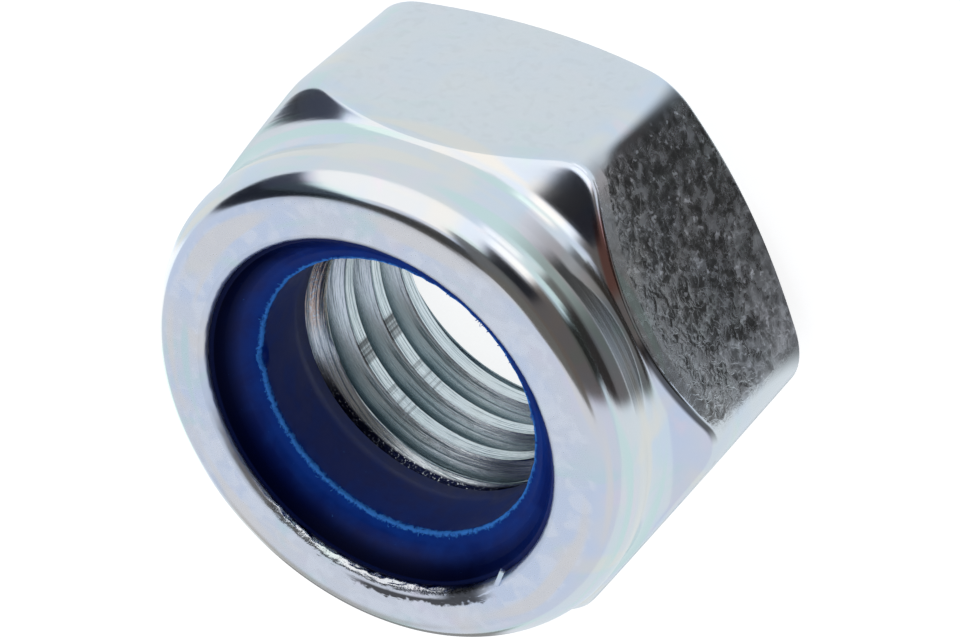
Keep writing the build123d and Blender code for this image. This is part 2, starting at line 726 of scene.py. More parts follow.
    def tear_lip(self, bm: bmesh.types.BMesh) -> None:
        """Makes the lip's inner edge ragged, most of all where the rolling has torn it.

        Args:
            bm: the mesh.
        """
        reach, fade = self.torn_reach
        for vert in bm.verts:
            radius = radius_of(vert.co)
            if radius > self.lip_radius + self.lip_nose or vert.co.z < self.lip_under + 0.3 * MM:
                continue
            turn = azimuth_of(vert.co)
            away = abs((math.degrees(turn) - self.torn_azimuth + 180.0) % 360.0 - 180.0)
            torn = 1.0 / (1.0 + math.exp((away - reach) / fade))
            outward = Vector((math.cos(turn), math.sin(turn), 0.0)) * radius / MM
            push = 0.0
            for ripple, (plain, added) in (
                (self.fine, self.fine_push),
                (self.coarse, self.coarse_push),
            ):
                push += (plain + added * torn) * ripple.at(outward, vert.co.z)
            move_to(vert, radius + push, vert.co.z - abs(push) * 0.5)

    def cut_thread(self, bm: bmesh.types.BMesh) -> None:
        """Adds the threaded bore, with its countersinks, to the body's mesh.

        Args:
            bm: the mesh.
        """
        pitch = self.thread.pitch
        base = self.thread.phase
        while base + pitch > 0.0:
            base -= pitch
        outside = len(bm.verts)
        turns = math.ceil((self.ledge - base) / pitch) + 1
        spin_section(bm, self.thread.section(base), pitch, turns)
        for vert in list(bm.verts)[outside:]:
            height = min(max(vert.co.z, 0.0), self.ledge)
            move_to(vert, self.bore_radius(radius_of(vert.co), height), height)

    def mark_flats(self, bm: bmesh.types.BMesh) -> None:
        """Keeps on each vertex its place on the nearest wrench flat.

        The place is the distance from the flat's middle line, the depth below its upper edge and
        the height above its lower edge.

        Args:
            bm: the mesh.
        """
        layer = bm.verts.layers.float_vector.new("flat_place")
        # the lip and the bore lie inside this radius, and on no flat
        outer = self.collar_radius - 0.8 * MM
        off_flats = Vector((0.0, -MM, -MM))
        for vert in bm.verts:
            turn = azimuth_of(vert.co)
            wall = self.hexagon(turn)
            past_flat = wall - self.flat_radius
            top = self.flat_top - past_flat * self.shoulder_slope
            low = (past_flat + self.bearing_face_inset) * self.bearing_slope
            aside = wall * math.sin(abs(self.off_flat(turn)))
            on_flat = Vector((aside, top - vert.co.z, vert.co.z - low))
            vert[layer] = on_flat if radius_of(vert.co) > outer else off_flats


# ---- nylon ring --------------------------------------------------------------------------


@dataclass
class NylonInsert:
    """The nylon ring: seated on the ledge, gripped under the lip, frayed at its bore's edge.

    Pairs are distances from the lip's edge or the bore, and heights above the place they name.

    Args:
        body: the steel body that holds the ring.
        grip: how much narrower than the thread the ring's bore is.
        bore_height: height of the bore above the ledge.
        edge_round: rounding of the bore's upper edge.
        fine_bore: height of the bore's finely divided end.
        slope_out: where the slope that starts at the bore's edge bends, from that edge.
        slope_in: where the slope meets the drop, from the lip's underside.
        drop: where the drop beside the lip starts, from the lip's underside.
        shelf: where the shelf beside the lip starts, from the lip's underside.
        sunk_reach: how far from the lip the shade in the drop reaches, and how far it fades.
        sunk_shelf: width of the shelf beside the lip, and how much of the shade it gets.
        sunk_azimuth: the side that gets none of the shade, in degrees.
        clear_reach: where the clearer blue starts, and how far it takes to grow, from the lip.
        fray_width: width of the frayed edge.
        fray_lift: how far the fraying moves it.
        ripple: noise of the frayed edge.
        lump: finer noise of it.
        kink: azimuth, spread and size of the one larger tear, in degrees and metres.
        fibres: number of loose fibres.
        seed: what the fibres' sizes and places are drawn from.
    """

    body: NutBody
    grip: float = 0.64 * MM
    bore_height: float = 2.72 * MM
    edge_round: float = 0.10 * MM
    fine_bore: float = 0.50 * MM
    slope_out: Pair = (0.42 * MM, 0.17 * MM)
    slope_in: Pair = (0.74 * MM, -0.13 * MM)
    drop: Pair = (0.40 * MM, 0.22 * MM)
    shelf: Pair = (0.16 * MM, 0.58 * MM)
    sunk_reach: Pair = (0.62 * MM, 0.12 * MM)
    sunk_shelf: Pair = (0.17 * MM, 0.82)
    sunk_azimuth: float = 8.0
    clear_reach: Pair = (0.55 * MM, 0.75 * MM)
    fray_width: float = 0.21 * MM
    fray_lift: float = 0.045 * MM
    ripple: Ripple = Ripple(18.0, 0.40 * MM)
    lump: Ripple = Ripple(54.0, 0.20 * MM, 5.0)
    kink: tuple[float, float, float] = (153.4, 3.4, 0.22 * MM)
    fibres: int = 120
    seed: int = 7

    @property
    def bore(self) -> float:
        """Radius of the ring's plain bore."""
        return self.body.thread.major_radius - self.grip

    @property
    def edge_height(self) -> float:
        """Height of the bore's upper edge."""
        return self.body.ledge + self.bore_height

    def section(self) -> list[Vector]:
        """Draws the ring's closed section, from the foot of the bore round the outside and back.

        Returns:
            Points as (radius, height).
        """
        body = self.body
        under = body.lip_under
        lip = body.lip_radius
        low = self.edge_height
        return outline(
            [
                Corner(self.bore, body.ledge, spans=3),
                Corner(self.bore, low - self.fine_bore, spans=6),
                Corner(self.bore, low, self.edge_round, 5, spans=9),
                Corner(self.bore + self.slope_out[0], low + self.slope_out[1], 0.50 * MM, 4, spans=7),
                Corner(lip - self.slope_in[0], under + self.slope_in[1], 0.60 * MM, 5, spans=4),
                Corner(lip - self.drop[0], under + self.drop[1], 0.25 * MM, 6, spans=3),
                Corner(lip - self.shelf[0], under + self.shelf[1], 0.10 * MM, 6, spans=2),
                Corner(lip, under + self.shelf[1] + 0.02 * MM),
                Corner(lip + body.lip_undercut, under),
                Corner(body.recess_radius - body.ring_shoulder, under),
                Corner(body.recess_radius, under - body.ring_shoulder),
                Corner(body.recess_radius, body.ledge),
                Corner(self.bore, body.ledge),
            ]
        )

    def build(self) -> bpy.types.Object:
        """Models the ring with its frayed edge and loose fibres.

        Returns:
            The ring as one mesh.
        """
        bm = bmesh.new()
        bm.verts.layers.int.new("station")
        spin_section(bm, self.section(), 0.0)
        self.shade(bm)
        self.fray(bm)
        chance = random.Random(self.seed)
        for _ in range(self.fibres):
            absorb(bm, self.fibre(chance))
        return finished(bm, "nylon_insert_ring", 0.0005 * MM)

    def shade(self, bm: bmesh.types.BMesh) -> None:
        """Keeps on each vertex how much painted shade it gets in the drop beside the lip, and how near the
        bore it lies.

        Args:
            bm: the mesh.
        """
        drop_shade = bm.verts.layers.float.new("drop_shade")
        inner = bm.verts.layers.float.new("inner")
        lit_side = math.radians(self.sunk_azimuth)
        for vert in bm.verts:
            if vert.co.z < self.edge_height - 0.2 * MM:
                continue
            step = self.body.lip_radius - radius_of(vert.co)
            near_lip = 1.0 / (1.0 + math.exp((step - self.sunk_reach[0]) / self.sunk_reach[1]))
            if step <= self.sunk_shelf[0]:
                near_lip *= self.sunk_shelf[1]
            around = 0.5 - 0.5 * math.cos(azimuth_of(vert.co) - lit_side)
            # painted shade: strongest close under the lip, and fading out towards one side
            vert[drop_shade] = near_lip * held((around - 0.10) / 0.45)
            vert[inner] = held((step - self.clear_reach[0]) / self.clear_reach[1])

    def fray(self, bm: bmesh.types.BMesh) -> None:
        """Roughens the bore's upper edge and keeps on each vertex how frayed it is.

        Args:
            bm: the mesh.
        """
        layer = bm.verts.layers.float.new("fray")
        kink_azimuth, kink_spread, kink_size = self.kink
        for vert in bm.verts:
            radius = radius_of(vert.co)
            turn = azimuth_of(vert.co)
            if vert.co.z < self.edge_height - MM or radius > self.bore + 1.2 * MM:
                continue
            away = math.hypot(radius - self.bore, vert.co.z - self.edge_height)
            near = max(0.0, 1.0 - away / (1.6 * self.fray_width))
            vert[layer] = near
            if near <= 0.0:
                continue
            outward = Vector((math.cos(turn), math.sin(turn), 0.0))
            ripple = self.ripple.at(outward, radius)
            lump = self.lump.at(outward, vert.co.z)
            kink = math.exp(-(((math.degrees(turn) - kink_azimuth) / kink_spread) ** 2)) * kink_size
            out = near * (self.fray_lift * (0.9 * ripple + 0.6 * lump) + kink)
            lift = near * self.fray_lift * (0.8 * lump + 0.3)
            move_to(vert, radius + out, vert.co.z + lift)

    def fibre(self, chance: random.Random) -> bmesh.types.BMesh:
        """Bends one short fibre from a small disc and seats it on the frayed edge.

        Args:
            chance: where its size, lean and place come from.

        Returns:
            The fibre, closed at both ends.
        """
        bm = bmesh.new()
        bm.verts.layers.int.new("station")
        layer = bm.verts.layers.float.new("fray")
        bm.verts.layers.float.new("drop_shade")
        bm.verts.layers.float.new("inner")
        thick = chance.uniform(0.010, 0.018) * MM
        bend = chance.uniform(0.05, 0.14) * MM
        bmesh.ops.create_circle(bm, cap_ends=True, segments=5, radius=thick)
        disc = list(bm.verts) + list(bm.edges) + list(bm.faces)
        spin_part(bm, disc, chance.uniform(0.7, 1.9), 4, (bend, 0.0, 0.0), (0.0, 1.0, 0.0))
        for vert in bm.verts:
            vert[layer] = 1.0
        lean = Matrix.Rotation(chance.uniform(-0.5, 0.7), 4, "Y")
        twist = Matrix.Rotation(chance.uniform(-2.6, 2.6), 4, "Z")
        out = self.bore + chance.uniform(0.02, 0.16) * MM
        seat = Matrix.Translation((out, 0.0, self.edge_height + 0.01 * MM))
        turn = Matrix.Rotation(chance.uniform(0.0, TURN), 4, "Z")
        bmesh.ops.transform(bm, matrix=turn @ seat @ twist @ lean, verts=bm.verts)
        return bm


# ---- finishes ---------------------------------------------------------------------------

Colour = tuple[float, float, float]
Socket = bpy.types.NodeSocket
Number = Socket | float
Sockets = dict[str, Socket]
Weights = tuple[tuple[str, float], ...]

WHITE = (1.0, 1.0, 1.0, 1.0)


class Graph:
    """Short calls that lay the nodes of one material or world.

    Args:
        tree: the node tree to build in.
    """

    def __init__(self, tree: bpy.types.NodeTree) -> None:
        """Keeps the node tree."""
        self.tree = tree

    def node(
        self, kind: str, inputs: dict[str | int, object] | None = None, **settings: object
    ) -> bpy.types.Node:
        """Adds a node.

        Args:
            kind: the node's type, without its ShaderNode prefix.
            inputs: what its inputs get, a value or another node's output socket.
            settings: its own settings by name.

        Returns:
            The node.
        """
        made = self.tree.nodes.new("ShaderNode" + kind)
        for name, value in settings.items():
            setattr(made, name, value)
        for key, value in (inputs or {}).items():
            if isinstance(value, Socket):
                self.tree.links.new(value, made.inputs[key])
            else:
                made.inputs[key].default_value = value
        return made

    def math(self, operation: str, first: Number, second: Number = 0.0) -> Socket:
        """The result of an operation on one or two numbers."""
        return self.node("Math", {0: first, 1: second}, operation=operation).outputs[0]

    def times(self, *factors: Number) -> Socket:
        """Multiplies numbers.

        Args:
            factors: the numbers, two or more.

        Returns:
            Their product.
        """
        product = factors[0]
        for factor in factors[1:]:
            product = self.math("MULTIPLY", product, factor)
        return product

    def total(self, *terms: Number) -> Socket:
        """Adds numbers.

        Args:
            terms: the numbers, two or more.

        Returns:
            Their sum.
        """
        result = terms[0]
        for term in terms[1:]:
            result = self.math("ADD", result, term)
        return result

    def weighted(self, numbers: Sockets, weights: Weights) -> Socket:
        """The sum of named numbers, each times its weight."""
        return self.total(*(self.times(numbers[name], weight) for name, weight in weights))

    def rest(self, share: Socket) -> Socket:
        """What a share leaves of 1."""
        return self.math("SUBTRACT", 1.0, share)

    def vector(self, x: Number, y: Number, z: Number = 0.0) -> Socket:
        """A place from its three coordinates."""
        return self.node("CombineXYZ", {0: x, 1: y, 2: z}).outputs[0]

    def noise(
        self, place: Socket, size: float, detail: float = 2.0, rough: float = 0.5, warp: float = 0.0
    ) -> Socket:
        """Lays a noise over the object.

        Args:
            place: where on the object it is read.
            size: how far apart its blotches are.
            detail: how many finer noises it holds.
            rough: how strong they are.
            warp: how far it is bent by itself.

        Returns:
            A number from 0 to 1.
        """
        inputs = {"Vector": place, "Scale": 1.0 / size, "Detail": detail, "Roughness": rough}
        return self.node("TexNoise", {**inputs, "Distortion": warp}).outputs[0]

    def noise4(self, place: Socket, fourth: Socket, detail: float, rough: float) -> Socket:
        """A noise from 0 to 1 at a place with a fourth coordinate."""
        inputs = {"Vector": place, "W": fourth, "Scale": 1.0, "Detail": detail, "Roughness": rough}
        return self.node("TexNoise", inputs, noise_dimensions="4D").outputs[0]

    def remap(
        self, value: Socket, low: float, high: float, to_low: float = 0.0, to_high: float = 1.0
    ) -> Socket:
        """Spreads a number smoothly from one range to another and holds it at its ends.

        Args:
            value: the number.
            low: where the first range starts.
            high: where it ends, which may lie below its start.
            to_low: where the second range starts.
            to_high: where it ends.

        Returns:
            The number in the second range.
        """
        ranges = {"From Min": low, "From Max": high, "To Min": to_low, "To Max": to_high}
        smooth = self.node("MapRange", {"Value": value, **ranges}, interpolation_type="SMOOTHSTEP")
        return smooth.outputs[0]

    def blend(self, share: Number, first: Socket | Colour, second: Socket | Colour) -> Socket:
        """Mixes two colours.

        Args:
            share: how much of the second colour is in it.
            first: the first colour.
            second: the second colour.

        Returns:
            The mixed colour.
        """
        mix = self.node("Mix", {0: share}, data_type="RGBA")
        for key, value in ((6, first), (7, second)):
            if isinstance(value, Socket):
                self.tree.links.new(value, mix.inputs[key])
            else:
                mix.inputs[key].default_value = (*value, 1.0)
        return mix.outputs[2]

    def attribute(self, name: str) -> bpy.types.Node:
        """The node that reads what the mesh keeps under a name."""
        return self.node("Attribute", attribute_name=name)

    def place(self) -> Socket:
        """The point's place in the object."""
        return self.node("TexCoord").outputs["Object"]

    def bump(self, height: Socket) -> Socket:
        """A surface normal that follows a height in metres."""
        return self.node("Bump", {"Height": height, "Distance": 1.0, "Strength": 1.0}).outputs[0]

    def connect(self, shader: bpy.types.Node, values: Sockets) -> None:
        """Gives a shader its values.

        Args:
            shader: the shader's node.
            values: a socket for each of the inputs named.
        """
        for name, value in values.items():
            self.tree.links.new(value, shader.inputs[name])


def new_material(name: str) -> tuple[bpy.types.Material, Graph, bpy.types.Node]:
    """Makes a material.

    Args:
        name: the material's name.

    Returns:
        The material, its graph and its Principled shader.
    """
    material = bpy.data.materials.new(name)
    material.use_nodes = True
    return material, Graph(material.node_tree), material.node_tree.nodes["Principled BSDF"]


def bare_graph(owner: bpy.types.Material | bpy.types.World) -> Graph:
    """Empties the node tree of a material or world.

    Args:
        owner: the material or world.

    Returns:
        The graph, with no nodes.
    """
    owner.use_nodes = True
    owner.node_tree.nodes.clear()
    return Graph(owner.node_tree)


@dataclass(frozen=True)
class Sector:
    """A sector of the nut that fades at both sides.

    Args:
        azimuth: its middle, in degrees.
        inner: how far from the middle it is whole, in degrees.
        outer: how far from the middle it ends, in degrees.
    """

    azimuth: float
    inner: float
    outer: float

    def share(self, graph: Graph, zone: Sockets) -> Socket:
        """Measures how fully a point lies in the sector.

        Args:
            graph: the material's graph.
            zone: the point's coordinates.

        Returns:
            A number from 0 to 1.
        """
        turn = math.radians(self.azimuth)
        along = graph.total(
            graph.times(zone["x"], math.cos(turn)), graph.times(zone["y"], math.sin(turn))
        )
        cosine = graph.math("DIVIDE", along, zone["radius"])
        outer, inner = math.radians(self.outer), math.radians(self.inner)
        return graph.remap(cosine, math.cos(outer), math.cos(inner))


@dataclass(frozen=True)
class Zones:
    """Finds the zone of the steel body that a point lies in.

    Each pair is where a zone starts and where it is whole. A depth is counted down from the upper
    edge of a flat, and a lift up from its lower edge.

    Args:
        flat_side: distances from a flat's middle line that bound the flats.
        flat_depth: depths that bound them.
        flat_lift: lifts that bound them.
        grain_depth: depths at which the plain band gives way to the grain.
        grain_shares: how much of the grain the band and the rest of a flat have.
        edge_depth: depths at which the rusty strip and the painted shade of the fold end.
        rusty_depth: depths at which the rusty strip starts.
        rusty: the rusty strip's sector.
        fold_shade_depth: depths at which the painted shade of the fold under the collar starts.
        fold_shade: the sector of the painted shade of the fold.
        collar_radius: radii that bound the collar.
        collar_height: heights that bound it.
        lip_height: heights that bound the lip's flat top.
        lip_radius: radii that bound it.
        nose_radius: radii that bound the lip's inner edge.
        nose_height: heights that bound it.
        bore_radius: radii that bound the threaded bore.
        bore_height: heights that bound it.
        root: radii that bound the thread's roots.
        crest: radii that bound its crests.
        seat_height: heights that bound the shadow under the ring's seat.
        seat: the shadow's sector.
    """

    flat_side: Pair = (5.05 * MM, 4.45 * MM)
    flat_depth: Pair = (0.0, 0.06 * MM)
    flat_lift: Pair = (0.0, 0.10 * MM)
    grain_depth: Pair = (0.44 * MM, 0.60 * MM)
    grain_shares: Pair = (0.45, 1.0)
    edge_depth: Pair = (0.02 * MM, -0.06 * MM)
    rusty_depth: Pair = (-0.42 * MM, -0.30 * MM)
    rusty: Sector = Sector(15.5, 4.5, 9.0)
    # painted shade along the fold under the collar
    fold_shade_depth: Pair = (-0.30 * MM, -0.18 * MM)
    fold_shade: Sector = Sector(-15.0, 10.0, 14.5)
    collar_radius: Pair = (7.3 * MM, 7.5 * MM)
    collar_height: Pair = (7.2 * MM, 8.2 * MM)
    lip_height: Pair = (11.60 * MM, 11.69 * MM)
    lip_radius: Pair = (6.8 * MM, 7.1 * MM)
    nose_radius: Pair = (7.10 * MM, 7.00 * MM)
    nose_height: Pair = (10.9 * MM, 11.1 * MM)
    bore_radius: Pair = (6.50 * MM, 6.40 * MM)
    bore_height: Pair = (7.60 * MM, 7.52 * MM)
    root: Pair = (5.60 * MM, 5.93 * MM)
    crest: Pair = (5.24 * MM, 5.20 * MM)
    seat_height: Pair = (6.84 * MM, 6.92 * MM)
    seat: Sector = Sector(-128.0, 42.0, 62.0)

    def find(self, graph: Graph, place: Socket) -> Sockets:
        """Lays the nodes that find every zone.

        Args:
            graph: the material's graph.
            place: the point's place in the object.

        Returns:
            A number from 0 to 1 for each zone, with the point's coordinates in metres.
        """
        split = graph.node("SeparateXYZ", {0: place})
        x, y, height = (split.outputs[axis] for axis in "XYZ")
        level = graph.node("VectorMath", {0: place, 1: (1.0, 1.0, 0.0)}, operation="MULTIPLY")
        length = graph.node("VectorMath", {0: level.outputs[0]}, operation="LENGTH")
        radius = length.outputs["Value"]
        zone = {"x": x, "y": y, "height": height, "radius": radius}
        self.find_on_flats(graph, zone)
        turned = (
            ("collar", radius, self.collar_radius, height, self.collar_height),
            ("lip", height, self.lip_height, radius, self.lip_radius),
            ("nose", radius, self.nose_radius, height, self.nose_height),
            ("bore", radius, self.bore_radius, height, self.bore_height),
        )
        for name, first, first_pair, second, second_pair in turned:
            zone[name] = graph.times(
                graph.remap(first, *first_pair), graph.remap(second, *second_pair)
            )
        for name, pair in (("root", self.root), ("crest", self.crest)):
            zone[name] = graph.times(zone["bore"], graph.remap(radius, *pair))
        zone["seat"] = graph.times(
            graph.remap(height, *self.seat_height), zone["bore"], self.seat.share(graph, zone)
        )
        return zone

    def find_on_flats(self, graph: Graph, zone: Sockets) -> None:
        """Finds the zones on the wrench flats and along their upper edges.

        Args:
            graph: the material's graph.
            zone: the point's coordinates, which the zones are added to.
        """
        on_flat = graph.node("SeparateXYZ", {0: graph.attribute("flat_place").outputs["Vector"]})
        aside, depth, lift = (on_flat.outputs[axis] for axis in "XYZ")
        plane = graph.times(
            graph.remap(aside, *self.flat_side),
            graph.remap(depth, *self.flat_depth),
            graph.remap(lift, *self.flat_lift),
        )
        grain = graph.remap(depth, *self.grain_depth, *self.grain_shares)
        zone["grain"] = graph.times(plane, grain)
        zone["band"] = graph.math("SUBTRACT", plane, zone["grain"])
        # the fold strip carries painted shade under the collar
        strips = (("rusty", self.rusty_depth, self.rusty), ("fold_shade", self.fold_shade_depth, self.fold_shade))
        for name, start, sector in strips:
            zone[name] = graph.times(
                graph.remap(depth, *start),
                graph.remap(depth, *self.edge_depth),
                sector.share(graph, zone),
            )


@dataclass(frozen=True)
class Marks:
    """Finds the marks on the steel body that colour, roughness and relief share.

    Args:
        speckle: size of the fine speckle.
        cloud: size of the clouds that thin out the haze and the webs.
        slant: how both change per metre along y, how per metre of height, and what they start from.
        peel: size of the orange peel on the flats.
        web: size of the pale webs.
        web_width: width of their threads, in parts of the noise.
        spot: size of the pale spots.
        worn_flat: the y at which the grain has died out on one flat, the y at which it is whole,
            and how much of it there is at each.
        ring: width of the fine lines round the collar.
        rainbow: width of the tinted bands round it.
        streak: width of the streaks in the painted dark reflection.
        round_scale: how fast a noise wound round the collar changes on the way round.
        pitch: rise of one turn of the thread.
        helix: how fast the lines along the thread change across it and along it.
        bar: size of the scraped bars across the crests.
        bar_height: heights at which the scraped part starts.
        bar_sector: where the bars are.
        patch_sector: where the dark patch beside them is.
        ragged: size of the ragged edge of the painted dark reflection.
        edge_radius: radius at which the painted dark reflection ends, and how far it fades.
        dark_reflection_height: heights at which the painted dark reflection starts.
        dark_reflection_sector: where the painted dark reflection is.
        bright_radius: radii at which the bright torn edge starts.
        bright_sector: where that edge has no painted dark reflection.
        burr_sector: where the lip's edge is torn.
    """

    speckle: float = 0.10 * MM
    cloud: float = 1.1 * MM
    slant: tuple[float, float, float] = (-0.07 / MM, -0.06 / MM, 0.75)
    peel: float = 0.42 * MM
    web: float = 0.34 * MM
    web_width: float = 0.075
    spot: float = 0.24 * MM
    worn_flat: tuple[float, float, float, float] = (5.7 * MM, 4.9 * MM, 0.10, 1.0)
    ring: float = 0.13 * MM
    rainbow: float = 1.1 * MM
    streak: float = 0.16 * MM
    round_scale: float = 1.6
    pitch: float = Thread.pitch
    helix: Pair = (4.2, 0.22 / MM)
    bar: float = 0.15 * MM
    bar_height: Pair = (2.3 * MM, 2.6 * MM)
    bar_sector: Sector = Sector(206.0, 6.0, 9.5)
    patch_sector: Sector = Sector(182.5, 3.6, 5.6)
    # the painted dark reflection beside the lip's torn edge
    ragged: float = 0.40 * MM
    edge_radius: Pair = (7.16 * MM, 0.34 * MM)
    dark_reflection_height: Pair = (11.30 * MM, 11.50 * MM)
    dark_reflection_sector: Sector = Sector(-105.0, 17.0, 27.0)
    bright_radius: Pair = (7.15 * MM, 7.05 * MM)
    bright_sector: Sector = Sector(-126.0, 24.0, 32.0)
    burr_sector: Sector = Sector(-121.0, 30.0, 44.0)

    def find(self, graph: Graph, place: Socket, zone: Sockets) -> Sockets:
        """Lays the nodes that find every mark.

        Args:
            graph: the material's graph.
            place: the point's place in the object.
            zone: the zones it lies in.

        Returns:
            A number from 0 to 1 for each kind of mark, and the plain noises.
        """
        return {
            "speckle": graph.noise(place, self.speckle, 3.0, 0.6),
            "ring": graph.noise(self.wound(graph, zone, 1.0, self.ring), 1.0, 3.0, 0.6),
            "rainbow": graph.noise(self.wound(graph, zone, 0.7, self.rainbow), 1.0, 1.0, 0.5),
            **self.find_on_flats(graph, place, zone),
            **self.find_in_bore(graph, zone),
            # a dark reflection is painted beside the lip's torn edge
            "dark_reflection": self.find_dark_reflection(graph, place, zone),
            "burr": graph.times(zone["nose"], self.burr_sector.share(graph, zone)),
        }

    def wound(self, graph: Graph, zone: Sockets, along: float, width: float) -> Socket:
        """Winds a place round the collar, so that a noise there runs in lines.

        Args:
            graph: the material's graph.
            zone: the point's coordinates.
            along: how fast the noise changes along a line.
            width: how wide the lines are.

        Returns:
            The wound place.
        """
        least = graph.math("MAXIMUM", zone["radius"], 0.1 * MM)
        inverse = graph.math("DIVIDE", self.round_scale, least)
        across = graph.math("SUBTRACT", zone["height"], zone["radius"])
        return graph.vector(
            graph.times(zone["x"], inverse, along),
            graph.times(zone["y"], inverse, along),
            graph.times(across, 1.0 / width),
        )

    def find_on_flats(self, graph: Graph, place: Socket, zone: Sockets) -> Sockets:
        """Finds the orange peel, pale webs, spots and haze on the wrench flats.

        Args:
            graph: the material's graph.
            place: the point's place in the object.
            zone: the zones it lies in.

        Returns:
            A number from 0 to 1 for each mark, with the peel's noise and the grain that is left.
        """
        cloud = graph.math("SUBTRACT", graph.noise(place, self.cloud, 2.0, 0.6), 0.5)
        by_y, by_height, start = self.slant
        sweep = graph.total(
            graph.times(zone["y"], by_y), graph.times(zone["height"], by_height), start
        )
        grain = graph.times(zone["grain"], graph.remap(zone["y"], *self.worn_flat))
        peel = graph.noise(place, self.peel, 1.5, 0.5, 0.5)
        web = graph.math("SUBTRACT", graph.noise(place, self.web, 1.5, 0.5, 0.7), 0.5)
        thread = graph.remap(graph.math("ABSOLUTE", web), self.web_width, 0.0)
        reach = graph.remap(graph.total(sweep, cloud), 0.20, 0.80, 0.40, 1.0)
        haze = graph.total(sweep, graph.times(cloud, 0.6))
        spot = graph.noise(place, self.spot, 1.0, 0.5)
        return {
            "grain": grain,
            "peel": peel,
            "web": graph.times(thread, grain, reach),
            "spot": graph.times(graph.remap(spot, 0.62, 0.76), grain),
            "blot": graph.times(graph.remap(peel, 0.42, 0.74), grain),
            "pit": graph.times(graph.remap(peel, 0.50, 0.32), grain),
            "haze": graph.times(graph.remap(haze, 0.60, 1.02), grain),
        }

    def find_in_bore(self, graph: Graph, zone: Sockets) -> Sockets:
        """Finds the lines along the thread and the bars that the drill left across its crests.

        Args:
            graph: the material's graph.
            zone: the point's coordinates and the zones it lies in.

        Returns:
            The lines' noise, and a number from 0 to 1 for the bars and the dark patch.
        """
        azimuth = graph.math("ARCTAN2", zone["y"], zone["x"])
        climbed = graph.times(zone["height"], TURN / self.pitch)
        phase = graph.math("SUBTRACT", climbed, azimuth)
        across, along = self.helix
        helix = graph.vector(
            graph.times(graph.math("COSINE", phase), across),
            graph.times(graph.math("SINE", phase), across),
            graph.times(zone["x"], along),
        )
        bar = graph.noise(graph.vector(zone["x"], zone["y"]), self.bar, 1.0, 0.5)
        crests = graph.times(zone["crest"], graph.remap(zone["height"], *self.bar_height))
        bars = graph.times(self.bar_sector.share(graph, zone), graph.remap(bar, 0.46, 0.58))
        uneven = graph.remap(bar, 0.30, 0.60, 0.5, 0.9)
        return {
            "helix": graph.noise4(helix, graph.times(zone["y"], along), 4.0, 0.75),
            "bar": graph.times(crests, bars),
            "patch": graph.times(crests, self.patch_sector.share(graph, zone), uneven),
        }

    def find_dark_reflection(self, graph: Graph, place: Socket, zone: Sockets) -> Socket:
        """Finds the streaky dark reflection painted beside the lip's torn edge.

        Args:
            graph: the material's graph.
            place: the point's place in the object.
            zone: the zones it lies in.

        Returns:
            A number from 0 to 1.
        """
        ragged = graph.noise(place, self.ragged, 2.0, 0.6)
        ends, fade = self.edge_radius
        edge = graph.total(
            graph.times(zone["radius"], -1.0 / fade), ends / fade, graph.times(ragged, 2.2)
        )
        streak = graph.noise(self.wound(graph, zone, 3.6, self.streak), 1.0, 3.0, 0.65)
        bright = graph.times(
            graph.remap(zone["radius"], *self.bright_radius), self.bright_sector.share(graph, zone)
        )
        # painted dark reflection: a dark band in place of what the torn edge mirrors
        return graph.times(
            graph.remap(edge, 0.35, 0.75),
            self.dark_reflection_sector.share(graph, zone),
            graph.remap(zone["height"], *self.dark_reflection_height),
            graph.remap(streak, 0.36, 0.44),
            graph.rest(graph.times(bright, 0.9)),
        )


